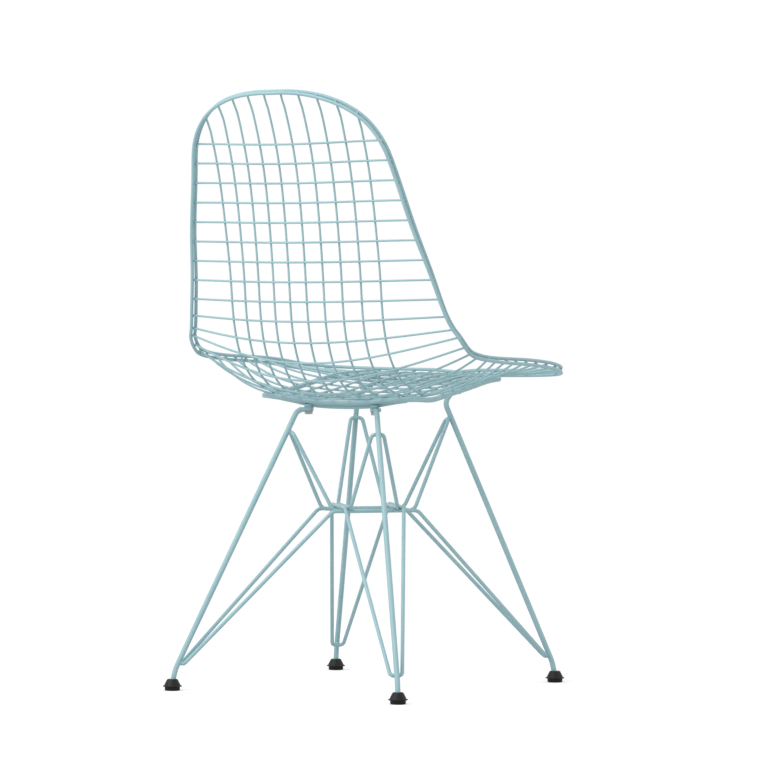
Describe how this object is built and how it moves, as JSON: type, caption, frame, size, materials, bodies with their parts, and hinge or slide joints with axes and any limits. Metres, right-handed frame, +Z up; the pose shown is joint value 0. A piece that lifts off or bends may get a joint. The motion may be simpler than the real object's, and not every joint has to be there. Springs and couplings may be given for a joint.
{
  "type": "wire mesh side chair",
  "caption": "Armless side chair with a welded wire mesh seat shell on four splayed rod legs braced by thin wire loops, light blue powder coat, dark plastic glides",
  "frame": {"origin": "on the floor, midway between the front and back and between the sides of the whole chair", "axes": "+X towards the sitter's left side, +Y from the front edge of the seat towards the back, +Z up from the floor to the top of the back"},
  "size_m": [0.4704, 0.4782, 0.834],
  "materials": {
    "shell_paint": "satin",
    "base_paint": "satin",
    "glide_plastic": "matte",
    "zinc_hardware": "satin"
  },
  "bodies": {
    "root": {"brace_lower_left": "base_paint", "brace_lower_right": "base_paint", "brace_upper_left": "base_paint", "brace_upper_right": "base_paint", "cross_wire_01": "shell_paint", "cross_wire_02": "shell_paint", "cross_wire_03": "shell_paint", "cross_wire_04": "shell_paint", "cross_wire_05": "shell_paint", "cross_wire_06": "shell_paint", "cross_wire_07": "shell_paint", "cross_wire_08": "shell_paint", "cross_wire_09": "shell_paint", "cross_wire_10": "shell_paint", "cross_wire_11": "shell_paint", "cross_wire_12": "shell_paint", "cross_wire_13": "shell_paint", "cross_wire_14": "shell_paint", "cross_wire_15": "shell_paint", "cross_wire_16": "shell_paint", "cross_wire_17": "shell_paint", "cross_wire_18": "shell_paint", "cross_wire_19": "shell_paint", "cross_wire_20": "shell_paint", "cross_wire_21": "shell_paint", "cross_wire_22": "shell_paint", "cross_wire_23": "shell_paint", "cross_wire_24": "shell_paint", "cross_wire_25": "shell_paint", "front_tabs": "shell_paint", "glide_front_left": "glide_plastic", "glide_front_right": "glide_plastic", "glide_rear_left": "glide_plastic", "glide_rear_right": "glide_plastic", "leg_front_left": "base_paint", "leg_front_right": "base_paint", "leg_rear_left": "base_paint", "leg_rear_right": "base_paint", "long_wire_left_1": "shell_paint", "long_wire_left_2": "shell_paint", "long_wire_left_3": "shell_paint", "long_wire_left_4": "shell_paint", "long_wire_left_5": "shell_paint", "long_wire_right_1": "shell_paint", "long_wire_right_2": "shell_paint", "long_wire_right_3": "shell_paint", "long_wire_right_4": "shell_paint", "long_wire_right_5": "shell_paint", "pad_bolts": "zinc_hardware", "rear_rail": "shell_paint", "rim_back": "shell_paint", "rim_front": "shell_paint", "seat_ring": "shell_paint", "washers": "zinc_hardware"}
  },
  "joints": []
}
